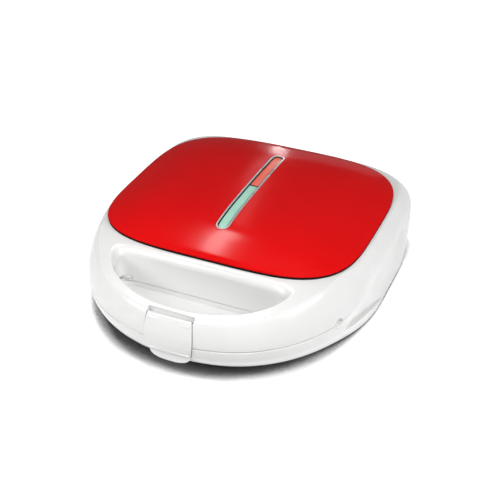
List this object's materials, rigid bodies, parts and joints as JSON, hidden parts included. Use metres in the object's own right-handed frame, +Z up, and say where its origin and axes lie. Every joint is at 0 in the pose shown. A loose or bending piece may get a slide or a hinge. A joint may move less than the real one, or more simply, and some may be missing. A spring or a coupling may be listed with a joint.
{
  "type": "sandwich maker",
  "caption": "Countertop sandwich maker with a hinged lid, finger-well handle, front latch clip and removable cooking plates, closed and latched.",
  "frame": {"origin": "on the ground under the middle of the closed appliance", "axes": "+Z up, +Y from the handle to the hinge, +X to the right seen from the handle; millimetre source, lid closed at rest"},
  "size_m": [0.223, 0.2734, 0.0921],
  "materials": {
    "white_plastic": "gloss white",
    "red_enamel": "gloss red",
    "green_lens": "translucent green",
    "orange_lens": "translucent orange-red",
    "clear_trim": "clear pale grey",
    "lamp_glass": "clear",
    "nonstick": "black non-stick coat",
    "black_plastic": "satin black",
    "bright_steel": "bright",
    "aluminium": "bright sheet",
    "black_rubber": "matt black",
    "ceramic": "matt cream"
  },
  "bodies": {
    "base": {"lower_inner_frame": "black_plastic", "lower_cooking_plate": "nonstick", "lower_reflector_pan": "aluminium", "lower_heating_element": "bright_steel", "lower_element_support_left": "ceramic", "lower_frame_screw_front_left": "bright_steel", "lower_frame_screw_rear_left": "bright_steel", "lower_element_support_right": "ceramic", "lower_frame_screw_front_right": "bright_steel", "lower_frame_screw_rear_right": "bright_steel", "lower_housing": "white_plastic", "cord_gland": "black_rubber", "terminal_block": "ceramic", "hinge_pin_left": "bright_steel", "hinge_pin_right": "bright_steel", "foot_front_left": "black_rubber", "foot_front_right": "black_rubber", "foot_rear_left": "black_rubber", "foot_rear_right": "black_rubber"},
    "lid": {"upper_inner_frame": "black_plastic", "upper_cooking_plate": "nonstick", "upper_reflector_pan": "aluminium", "upper_heating_element": "bright_steel", "upper_element_support_left": "ceramic", "upper_frame_screw_front_left": "bright_steel", "upper_frame_screw_rear_left": "bright_steel", "upper_element_support_right": "ceramic", "upper_frame_screw_front_right": "bright_steel", "upper_frame_screw_rear_right": "bright_steel", "upper_housing": "white_plastic", "top_panel": "red_enamel", "lamp_bezel": "clear_trim", "ready_lens": "green_lens", "power_lens": "orange_lens", "lamp_carrier": "white_plastic", "ready_lamp": "lamp_glass", "power_lamp": "lamp_glass", "thermostat": "ceramic", "thermal_fuse": "ceramic", "latch_pin": "bright_steel"},
    "latch": {"latch_clip": "white_plastic"},
    "upper_release": {"upper_plate_release": "white_plastic"},
    "lower_release": {"lower_plate_release": "white_plastic"}
  },
  "joints": [
    {"name": "lid_hinge", "type": "hinge", "parent": "base", "child": "lid", "pos_m": [0, 0.1316, 0.045], "axis": [-1, 0, 0], "range_deg": [0, 105]},
    {"name": "latch_pivot", "type": "hinge", "parent": "lid", "child": "latch", "pos_m": [0, -0.128, 0.0605], "axis": [-1, 0, 0], "range_deg": [0, 35]},
    {"name": "upper_release_slide", "type": "slide", "parent": "lid", "child": "upper_release", "axis": [-1, 0, 0], "range_m": [0, 0.006], "stiffness_N_per_m": 200, "springref_m": -0.003},
    {"name": "lower_release_slide", "type": "slide", "parent": "base", "child": "lower_release", "axis": [1, 0, 0], "range_m": [0, 0.006], "stiffness_N_per_m": 200, "springref_m": -0.003}
  ]
}
